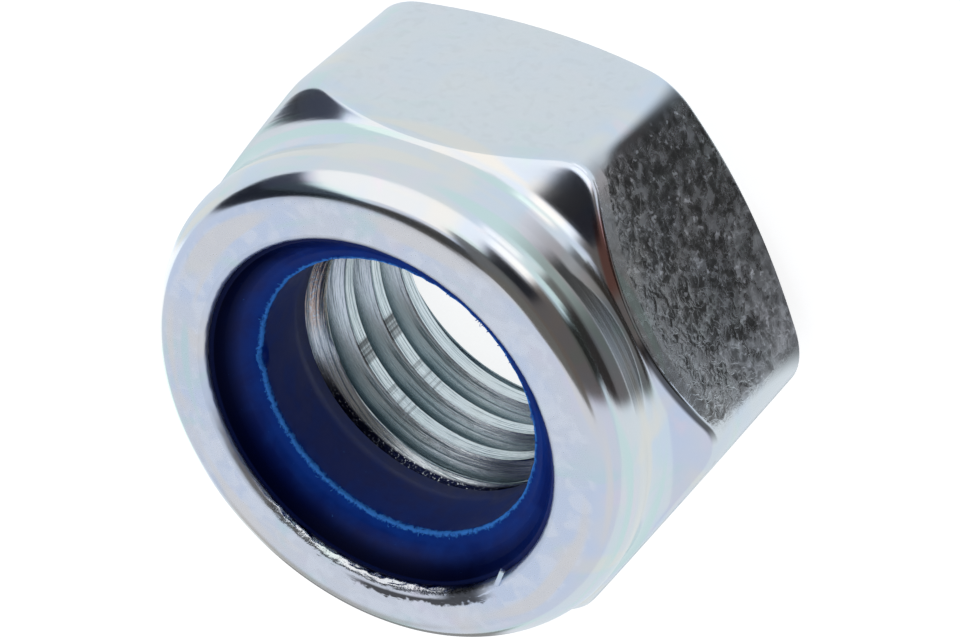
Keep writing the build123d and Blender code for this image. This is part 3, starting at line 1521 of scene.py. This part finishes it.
@dataclass(frozen=True)
class ZincPlating:
    """Bright zinc with a clear passivation that shows faint pastel tints.

    Args:
        zones: finds the zone that a point lies in.
        marks: finds the marks on it.
        neutral: the plating with no tint.
        blue: the bluish tint.
        green: the greenish tint.
        pink: the pinkish tint.
        straw: the straw-coloured tint.
        amber: the warm glow high on one side of the bore.
        rust: the rusty strip on the shoulder.
        cool: the plating inside the bore.
        worn: where the top of the lip is worn bright.
        groove: the dark lines along the thread, and the painted shade in its roots.
        grime_and_shade: dark pits and crest marks, with the painted shade of the fold and the painted dark
            reflection by the lip.
        shadow: the dark under the ring's seat.
        turned_roughness: how matt the collar and the other turned faces are.
        face_roughness: how matt the lip's top is.
        flat_roughness: how matt the flats are.
        band_roughness: how matt the plain band along their upper edge is.
        thread_roughness: how matt the bore is.
        least_roughness: the least that any place has.
        amber_height: heights at which the amber starts.
        amber_sector: where it is.
        chalk: how far each mark takes the metal's place.
        matt: how much roughness each mark adds.
        coarse: how much stronger the fine speckle's relief is in each place.
        speckle_relief: height of that relief.
        relief_heights: height of the relief of each mark that covers its own place.
    """

    zones: Zones = Zones()
    marks: Marks = Marks()
    neutral: Colour = (0.82, 0.84, 0.86)
    blue: Colour = (0.75, 0.82, 0.92)
    green: Colour = (0.71, 0.86, 0.84)
    pink: Colour = (0.87, 0.82, 0.88)
    straw: Colour = (0.90, 0.86, 0.79)
    amber: Colour = (0.86, 0.62, 0.46)
    rust: Colour = (0.62, 0.22, 0.16)
    cool: Colour = (0.80, 0.86, 0.87)
    worn: Colour = (0.93, 0.95, 0.96)
    # the dark lines along the thread, and painted shade deep in its roots
    groove: Colour = (0.13, 0.21, 0.24)
    # dark pits and marks, and also painted shade and a painted dark reflection
    grime_and_shade: Colour = (0.045, 0.042, 0.042)
    shadow: Colour = (0.010, 0.014, 0.045)
    turned_roughness: float = 0.13
    face_roughness: float = 0.27
    flat_roughness: float = 0.17
    band_roughness: float = 0.24
    thread_roughness: float = 0.24
    least_roughness: float = 0.06
    amber_height: Pair = (6.0 * MM, 6.5 * MM)
    amber_sector: Sector = Sector(138.0, 14.0, 30.0)
    chalk: Weights = (("blot", 0.16), ("web", 0.11), ("spot", 0.42), ("haze", 0.36))
    matt: Weights = (("blot", 0.16), ("web", 0.13), ("spot", 0.20), ("haze", 0.30), ("dark_reflection", 0.10))
    coarse: Weights = (("burr", 8.0), ("lip", 0.02), ("bore", 1.5), ("dark_reflection", 2.0), ("seat", 1.5))
    speckle_relief: float = 0.0022 * MM
    relief_heights: Weights = (("web", 0.006 * MM), ("bar", 0.012 * MM))

    def material(self) -> bpy.types.Material:
        """Builds the plating.

        Returns:
            The material.
        """
        made, graph, shader = new_material("bright_zinc")
        place = graph.place()
        zone = self.zones.find(graph, place)
        mark = self.marks.find(graph, place, zone)
        graph.connect(
            shader,
            {
                "Base Color": self.tints(graph, place, zone, mark),
                "Roughness": self.roughness(graph, zone, mark),
                "Normal": self.relief(graph, zone, mark),
                # the pale marks on the flats are chalky
                "Metallic": graph.rest(graph.weighted(mark, self.chalk)),
            },
        )
        return made

    def tints(self, graph: Graph, place: Socket, zone: Sockets, mark: Sockets) -> Socket:
        """Lays the pastel tints and dark marks, with the painted shade of the roots, fold and seat and a
        painted dark reflection by the lip.

        Args:
            graph: the material's graph.
            place: the point's place in the object.
            zone: the zones it lies in.
            mark: the marks on it.

        Returns:
            The colour.
        """
        broad = graph.noise(place, 3.2 * MM, 2.0, 0.5, 0.4)
        tint = graph.noise(place, 1.9 * MM, 2.0, 0.5, 0.8)
        warm = graph.noise(place, 2.6 * MM, 1.0, 0.5, 0.5)
        worn = graph.remap(graph.noise(place, 0.6 * MM, 1.0, 0.5, 0.5), 0.42, 0.66)
        glow = graph.times(
            graph.remap(zone["height"], *self.amber_height),
            zone["bore"],
            self.amber_sector.share(graph, zone),
            graph.remap(mark["speckle"], 0.34, 0.54),
        )
        lines = graph.times(graph.remap(mark["helix"], 0.52, 0.40), zone["bore"], 0.85)
        scraped = graph.math("MAXIMUM", mark["patch"], graph.times(mark["bar"], 0.4))
        # the painted dark reflection beside the lip joins the dark marks on the crests
        dark = graph.math("MAXIMUM", mark["dark_reflection"], scraped)
        layers = (
            (graph.remap(tint, 0.56, 0.72, 0.0, 0.7), self.pink),
            (graph.remap(tint, 0.44, 0.30, 0.0, 0.7), self.green),
            (graph.remap(warm, 0.60, 0.75, 0.0, 0.7), self.straw),
            (graph.times(zone["grain"], 0.7), self.neutral),
            (graph.times(mark["pit"], 0.35), self.grime_and_shade),
            (graph.times(zone["lip"], worn, 0.55), self.worn),
            (graph.times(graph.remap(mark["rainbow"], 0.44, 0.34), zone["collar"], 0.95), self.green),
            (graph.times(graph.remap(mark["rainbow"], 0.55, 0.66), zone["collar"], 0.8), self.straw),
            (graph.times(zone["rusty"], 0.75), self.rust),
            # painted shade in the fold under the collar
            (graph.times(zone["fold_shade"], 0.88), self.grime_and_shade),
            (graph.times(zone["bore"], 0.8), self.cool),
            (graph.times(glow, 0.8), self.amber),
            # dark lines along the thread, with painted shade deep in its roots
            (graph.math("MAXIMUM", lines, graph.times(zone["root"], 0.85)), self.groove),
            # the painted dark reflection beside the lip, with the dark marks on the crests
            (graph.times(dark, 0.93), self.grime_and_shade),
            (graph.times(zone["seat"], graph.remap(mark["speckle"], 0.68, 0.56)), self.shadow),
        )
        colour = graph.blend(graph.remap(broad, 0.36, 0.60), self.blue, self.neutral)
        for share, over in layers:
            colour = graph.blend(share, colour, over)
        return colour

    def roughness(self, graph: Graph, zone: Sockets, mark: Sockets) -> Socket:
        """Works out how matt each zone and mark is.

        Args:
            graph: the material's graph.
            zone: the zones that the point lies in.
            mark: the marks on it.

        Returns:
            The roughness.
        """
        plain = self.turned_roughness
        over_plain = (
            ("lip", self.face_roughness - plain),
            ("grain", self.flat_roughness - plain),
            ("band", self.band_roughness - plain),
            ("bore", self.thread_roughness - plain),
        )
        result = graph.total(
            graph.times(graph.math("SUBTRACT", mark["speckle"], 0.5), 0.04),
            plain,
            graph.weighted(zone, over_plain),
            graph.times(graph.math("SUBTRACT", zone["nose"], mark["burr"]), 0.22),
            graph.weighted(mark, self.matt),
        )
        return graph.math("MAXIMUM", self.least_roughness, result)

    def relief(self, graph: Graph, zone: Sockets, mark: Sockets) -> Socket:
        """Lays the fine relief of each zone and mark.

        Args:
            graph: the material's graph.
            zone: the zones that the point lies in.
            mark: the marks on it.

        Returns:
            The surface normal.
        """
        coarse = graph.weighted({**zone, **mark}, self.coarse)
        height = graph.total(
            graph.times(mark["peel"], mark["grain"], 0.050 * MM),
            graph.times(mark["ring"], zone["collar"], 0.0018 * MM),
            graph.times(mark["helix"], zone["bore"], 0.022 * MM),
            graph.times(mark["speckle"], coarse, self.speckle_relief),
            graph.weighted(mark, self.relief_heights),
        )
        return graph.bump(height)


@dataclass(frozen=True)
class BlueNylon:
    """Deep blue moulded nylon, frayed pale at the edge of its bore.

    Args:
        deep: its colour beside the lip.
        clear: its clearer colour near the bore.
        drop_shade: the painted shade deep in the drop beside the lip.
        frayed: the pale colour of torn nylon and dust.
        roughness: how matt it is.
        specular: how strongly it mirrors.
        cloud: size of the clouds in it.
        tuft: size of the tufts of the frayed edge.
        fleck: size of the specks of dust.
        grain: size and height of its grain.
        tuft_height: height of the tufts.
    """

    deep: Colour = (0.0003, 0.0150, 0.165)
    clear: Colour = (0.0004, 0.0420, 0.300)
    # painted shade in the drop beside the lip
    drop_shade: Colour = (0.0001, 0.0009, 0.0140)
    frayed: Colour = (0.055, 0.270, 0.800)
    roughness: float = 0.34
    specular: float = 0.21
    cloud: float = 1.3 * MM
    tuft: float = 0.16 * MM
    fleck: float = 0.13 * MM
    grain: Pair = (0.20 * MM, 0.004 * MM)
    tuft_height: float = 0.03 * MM

    def material(self) -> bpy.types.Material:
        """Builds the nylon.

        Returns:
            The material.
        """
        made, graph, shader = new_material("deep_blue_nylon")
        place = graph.place()
        drop_shade, inner, fray = (graph.attribute(n).outputs["Fac"] for n in ("drop_shade", "inner", "fray"))
        cloud = graph.noise(place, self.cloud, 3.0, 0.6, 0.4)
        tuft = graph.noise(place, self.tuft, 4.0, 0.7, 0.5)
        fleck = graph.noise(place, self.fleck, 2.0, 0.5)
        ragged = graph.total(fray, graph.times(graph.math("SUBTRACT", tuft, 0.5), 1.3))
        torn = graph.remap(ragged, 0.52, 0.86)
        dust = graph.times(graph.remap(fleck, 0.74, 0.79), graph.remap(cloud, 0.45, 0.60), 0.5)
        clearer = graph.total(graph.times(inner, 0.8), graph.remap(cloud, 0.36, 0.66, -0.15, 0.35))
        colour = graph.blend(graph.math("MAXIMUM", clearer, 0.0), self.deep, self.clear)
        # painted shade in the drop beside the lip, then the pale frayed nylon and dust
        for share, over in ((drop_shade, self.drop_shade), (torn, self.frayed), (dust, self.frayed)):
            colour = graph.blend(share, colour, over)
        rough = graph.total(
            graph.times(torn, 0.35), self.roughness, graph.remap(cloud, 0.35, 0.65, 0.0, 0.10)
        )
        size, depth = self.grain
        height = graph.total(
            graph.times(graph.noise(place, size, 3.0, 0.6), depth),
            graph.times(tuft, torn, self.tuft_height),
        )
        # the painted drop shade and the part near the bore mirror less
        dull = graph.math("MAXIMUM", graph.times(drop_shade, 0.92), graph.times(inner, 0.70))
        graph.connect(
            shader,
            {
                "Base Color": colour,
                "Roughness": rough,
                "Normal": graph.bump(height),
                "Specular IOR Level": graph.times(graph.rest(dull), self.specular),
            },
        )
        return made


# ---- studio -----------------------------------------------------------------------------


class Seen(Enum):
    """What a panel of the studio does."""

    LIGHTS = "lights the object and is mirrored in it"
    MIRRORED = "is only mirrored in the object"


@dataclass(frozen=True)
class Panel:
    """A lit or dark panel of the studio, which no camera sees.

    Args:
        name: what it is.
        azimuth: where it starts and ends round the nut, in degrees.
        elevation: where it starts and ends above the floor, in degrees.
        glow: its brightness, where 1 is white.
        tint: its colour.
        seen: what it does.
        distance: how far it stands from the nut.
        soft: how far its sides and its ends fade, in degrees.
    """

    name: str
    azimuth: Pair
    elevation: Pair
    glow: float
    tint: Colour = (1.0, 1.0, 1.0)
    seen: Seen = Seen.MIRRORED
    distance: float = 0.40
    soft: Pair = (5.0, 5.0)

    def build(self) -> bpy.types.Object:
        """Makes the panel by turning its upright arc about the nut's axis.

        Returns:
            The panel.
        """
        low, high = self.elevation
        # a panel that stands on the floor doesn't fade at its foot
        foot = low if low > 0.0 else -90.0
        section, cover = [], []
        for i in range(CARD_STEPS + 1):
            turn = low + (high - low) * i / CARD_STEPS
            direction = Vector((math.cos(math.radians(turn)), math.sin(math.radians(turn))))
            section.append(direction * self.distance)
            cover.append(faded(turn, foot, high, self.soft[1]))
        return stage_card(self, section, cover, (0.0, 0.0))


@dataclass(frozen=True)
class FloorCard:
    """A card that lies on the floor round the nut, and that no camera sees.

    Args:
        name: what it is.
        azimuth: where it starts and ends round its centre, in degrees.
        reach: its inner and outer radius.
        glow: its brightness, where 1 is white.
        tint: its colour.
        seen: what it does.
        centre: the point that its two straight sides aim at.
        lift: its height above the floor.
        soft: how far its sides fade in degrees, and its ends as a share of their radius.
    """

    name: str
    azimuth: Pair
    reach: Pair
    glow: float
    tint: Colour = (1.0, 1.0, 1.0)
    seen: Seen = Seen.MIRRORED
    centre: Pair = (0.0, 0.0)
    lift: float = 0.05 * MM
    soft: Pair = (5.0, 0.25)

    def build(self) -> bpy.types.Object:
        """Makes the card by turning a straight line.

        Returns:
            The card.
        """
        inner, outer = self.reach
        section, cover = [], []
        for i in range(CARD_STEPS + 1):
            radius = inner * (outer / inner) ** (i / CARD_STEPS)
            section.append(Vector((radius, self.lift)))
            fade = faded(radius, inner, math.inf, max(inner * self.soft[1], 1e-6))
            cover.append(fade * faded(radius, -math.inf, outer, max(outer * self.soft[1], 1e-6)))
        return stage_card(self, section, cover, self.centre)


def faded(value: float, low: float, high: float, width: float) -> float:
    """Fades a range in and out.

    Args:
        value: a number.
        low: the lower end of the range.
        high: its upper end.
        width: how far inside each end the fading reaches.

    Returns:
        A number that rises smoothly from 0 at either end to 1.
    """
    share = held(min(value - low, high - value) / width)
    return share * share * (3.0 - 2.0 * share)


def stage_card(
    card: Panel | FloorCard, section: list[Vector], cover: list[float], centre: Pair
) -> bpy.types.Object:
    """Turns a section through part of a turn and makes it a glowing or dark card.

    Args:
        card: what the card is.
        section: points as (radius, height).
        cover: how solid the card is at each point of the section, from 0 to 1.
        centre: the point that the section is turned about.

    Returns:
        The card.
    """
    bm = bmesh.new()
    bm.verts.layers.int.new("station")
    solid = bm.verts.layers.float.new("cover")
    station = bm.verts.layers.int["station"]
    start, end = (math.radians(a) for a in card.azimuth)
    spin_part(bm, lay_section(bm, section, start), end - start, CARD_COLUMNS)
    # an azimuth just short of the start isn't read as a whole turn past it
    slack = 0.1
    for vert in bm.verts:
        turn = (azimuth_of(vert.co) - start + slack) % TURN - slack
        side = faded(turn, 0.0, end - start, math.radians(card.soft[0]))
        vert[solid] = cover[vert[station]] * side
    bmesh.ops.translate(bm, verts=bm.verts, vec=(*centre, 0.0))
    made = as_object(bm, card.name)
    material = bpy.data.materials.new(card.name)
    graph = bare_graph(material)
    light = graph.node("Emission", {"Color": (*card.tint, 1.0), "Strength": card.glow})
    clear = graph.node("BsdfTransparent")
    share = graph.attribute("cover").outputs["Fac"]
    surface = graph.node("MixShader", {0: share, 1: clear.outputs[0], 2: light.outputs[0]})
    graph.node("OutputMaterial", {"Surface": surface.outputs[0]})
    made.data.materials.append(material)
    made.visible_camera = False
    made.visible_shadow = False
    made.visible_diffuse = card.seen is Seen.LIGHTS
    made.visible_transmission = card.seen is Seen.LIGHTS
    return made


@dataclass(frozen=True)
class Studio:
    """A pale floor and sky with soft panels and dark cards round the nut.

    Args:
        sky: the sky's colour in the metal and as light.
        floor_mirrored: the floor's colour in the metal.
        floor_glow: how much the floor glows to the camera, over the light that it gets.
        floor_albedo: how much of that light it gives back to the camera.
        floor_bounce: how much of it it gives back to the nut.
        floor_half: half the floor's width.
        far: how far the widest floor cards reach.
        wide: how far the other wide ones reach.
        navy: the tint of the cool dark cards.
        rust: the tint of the warm dark ones.
        edge: the point that flat_card is turned about.
        aside: the point that edge_card is turned about.
    """

    sky: Colour = (0.66, 0.70, 0.80)
    floor_mirrored: Colour = (0.74, 0.80, 0.84)
    floor_glow: float = 0.85
    floor_albedo: float = 0.45
    floor_bounce: float = 0.8
    floor_half: float = 1.5
    far: float = 400.0 * MM
    wide: float = 200.0 * MM
    navy: Colour = (0.8, 0.9, 1.3)
    rust: Colour = (1.0, 0.88, 0.84)
    edge: Pair = (-5.3 * MM, 3.0 * MM)
    aside: Pair = (-20.5 * MM, -15.0 * MM)

    def floor(self) -> bpy.types.Object:
        """Makes the floor: white to the camera, pale in the metal, and shaded under the nut.

        Returns:
            The floor.
        """
        bm = bmesh.new()
        bmesh.ops.create_grid(bm, x_segments=1, y_segments=1, size=self.floor_half)
        floor = as_object(bm, "floor")
        material = bpy.data.materials.new("pale_floor")
        graph = bare_graph(material)
        path = graph.node("LightPath")
        albedo, bounce = (self.floor_albedo,) * 3, (self.floor_bounce,) * 3
        matt = graph.node("BsdfDiffuse", {"Color": (*albedo, 1.0)})
        white = graph.node("Emission", {"Color": WHITE, "Strength": self.floor_glow})
        shown = graph.node("AddShader", {0: matt.outputs[0], 1: white.outputs[0]})
        pale = graph.node("Emission", {"Color": (*self.floor_mirrored, 1.0), "Strength": 1.0})
        bounced = graph.node("BsdfDiffuse", {"Color": (*bounce, 1.0)})
        camera = path.outputs["Is Camera Ray"]
        seen = graph.node("MixShader", {0: camera, 1: bounced.outputs[0], 2: shown.outputs[0]})
        glossy, passed = path.outputs["Is Glossy Ray"], path.outputs["Is Transmission Ray"]
        mirrored = graph.math("MAXIMUM", glossy, passed)
        surface = graph.node("MixShader", {0: mirrored, 1: seen.outputs[0], 2: pale.outputs[0]})
        graph.node("OutputMaterial", {"Surface": surface.outputs[0]})
        floor.data.materials.append(material)
        return floor

    def world(self) -> None:
        """Makes the pale sky, white behind the nut."""
        world = bpy.data.worlds.new("studio_sky")
        graph = bare_graph(world)
        camera = graph.node("LightPath").outputs["Is Camera Ray"]
        pale = graph.node("Background", {"Color": (*self.sky, 1.0), "Strength": 1.0})
        white = graph.node("Background", {"Color": WHITE, "Strength": 1.0})
        sky = graph.node("MixShader", {0: camera, 1: pale.outputs[0], 2: white.outputs[0]})
        graph.node("OutputWorld", {"Surface": sky.outputs[0]})
        bpy.context.scene.world = world

    def panels(self) -> list[Panel]:
        """Lists the panels that stand round the nut, from right to left.

        Returns:
            The soft panels and dark screens.
        """
        lit, navy, rust = Seen.LIGHTS, self.navy, self.rust
        crisp = (5.0, 1.5)
        return [
            Panel("softbox_right", (40.0, 114.0), (0.0, 51.0), 1.04, seen=lit),
            Panel("softbox_low", (17.0, 46.0), (1.0, 18.0), 1.20, seen=lit, distance=0.393, soft=(7.0, 3.0)),
            Panel("grey_screen", (-34.0, 24.0), (4.0, 52.0), 0.12, rust, lit, 0.394, (6.0, 5.0)),
            Panel("low_dark_screen", (-28.0, 6.0), (0.0, 13.0), 0.020, rust, lit, 0.385, (7.0, 4.0)),
            Panel("lens_side_screen", (11.0, 43.0), (18.0, 42.0), 0.014, navy, lit, 0.380, (5.0, 4.0)),
            Panel("grey_ceiling", (-42.0, 60.0), (34.0, 82.0), 0.13, seen=lit, distance=0.398),
            Panel("dark_ceiling", (52.0, 160.0), (55.0, 84.0), 0.05, seen=lit, distance=0.396),
            Panel("dark_side_screen", (113.0, 135.0), (0.5, 60.0), 0.06, navy, distance=0.380, soft=crisp),
            Panel("black_side_screen", (128.0, 154.0), (0.5, 60.0), 0.02, navy, distance=0.370, soft=crisp),
            Panel("grey_side_screen", (-160.0, -138.0), (0.0, 30.0), 0.42, distance=0.380),
        ]

    def cards(self) -> list[FloorCard]:
        """Lists the cards that lie on the floor round the nut.

        Returns:
            The pale and dark cards.
        """
        far, wide = self.far, self.wide
        return [
            FloorCard("bright_card", (26.0, 48.0), (50.0 * MM, far), 1.15),
            FloorCard(
                "grey_floor_card", (-33.0, 22.0), (16.0 * MM, 80.0 * MM), 0.14,
                lift=0.10 * MM, soft=(5.0, 0.1),
            ),
            FloorCard(
                "dark_floor_card", (-33.0, 10.0), (31.0 * MM, far), 0.030, self.rust,
                lift=0.12 * MM, soft=(7.0, 0.25),
            ),
            FloorCard(
                "edge_card", (24.0, 35.3), (36.0 * MM, 41.5 * MM), 0.06,
                centre=self.aside, lift=0.11 * MM, soft=(3.3, 0.02),
            ),
            FloorCard(
                "step_card", (-6.0, 42.0), (14.5 * MM, 34.0 * MM), 0.36,
                lift=0.105 * MM, soft=(24.0, 0.20),
            ),
            FloorCard(
                "flat_card", (-36.0, 12.5), (14.4 * MM, 22.7 * MM), 0.040,
                centre=self.edge, lift=0.15 * MM, soft=(8.0, 0.05),
            ),
            FloorCard("grey_card", (-156.0, -120.0), (11.0 * MM, wide), 0.28),
            FloorCard("white_card", (160.0, 200.0), (9.0 * MM, wide), 1.15),
        ]

    def build(self) -> list[bpy.types.Object]:
        """Builds the floor, the sky and every panel and card.

        Returns:
            The floor, the panels and the cards.
        """
        self.world()
        return [self.floor(), *(card.build() for card in (*self.panels(), *self.cards()))]


@dataclass(frozen=True)
class StudioCamera:
    """A long lens that looks down into the collar.

    Args:
        place: where it stands.
        right: the direction of its right side.
        up: the direction of its upper side.
        lens: the focal length, in millimetres.
        sensor: the sensor's width, in millimetres.
        clip: the nearest and farthest distance that it sees.
    """

    place: Vector = field(default_factory=lambda: Vector((82.6545, 37.6230, 95.6526)) * MM)
    right: Vector = field(default_factory=lambda: Vector((0.7502, -0.4278, -0.5043)))
    up: Vector = field(default_factory=lambda: Vector((0.1546, 0.8549, -0.4953)))
    lens: float = 138.805
    sensor: float = 36.0
    clip: Pair = (0.005, 10.0)

    def build(self) -> bpy.types.Object:
        """Makes the camera and gives it to the scene.

        Returns:
            The camera.
        """
        data = bpy.data.cameras.new("studio_camera")
        data.lens, data.sensor_width = self.lens, self.sensor
        data.clip_start, data.clip_end = self.clip
        camera = bpy.data.objects.new("studio_camera", data)
        right = self.right.normalized()
        back = right.cross(self.up).normalized()
        turned = Matrix((right, back.cross(right), back)).transposed().to_4x4()
        camera.matrix_world = Matrix.Translation(self.place) @ turned
        bpy.context.scene.collection.objects.link(camera)
        bpy.context.scene.camera = camera
        return camera


def dress(piece: bpy.types.Object, finish: bpy.types.Material, node: str) -> None:
    """Gives a piece its finish and rides it on the frame in place of a CAD node.

    Args:
        piece: the piece.
        finish: its material.
        node: the CAD node that it replaces.
    """
    piece.data.materials.append(finish)
    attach(piece, "root")
    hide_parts(node)


def main() -> None:
    """Builds every piece in order, rides it on the CAD frame and reports it."""
    body = NutBody(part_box("nut_body"))
    nut = body.build()
    dress(nut, ZincPlating().material(), "nut_body")
    ring = NylonInsert(body).build()
    dress(ring, BlueNylon().material(), "nylon_insert")
    for piece in (nut, ring, *Studio().build()):
        log.info("%s is finished in %s", piece.name, piece.data.materials[0].name)
    camera = StudioCamera().build()
    log.info("%s stands at %s", camera.name, tuple(camera.location))
    bpy.context.scene.view_settings.view_transform = "Standard"


if __name__ == "__main__":
    main()
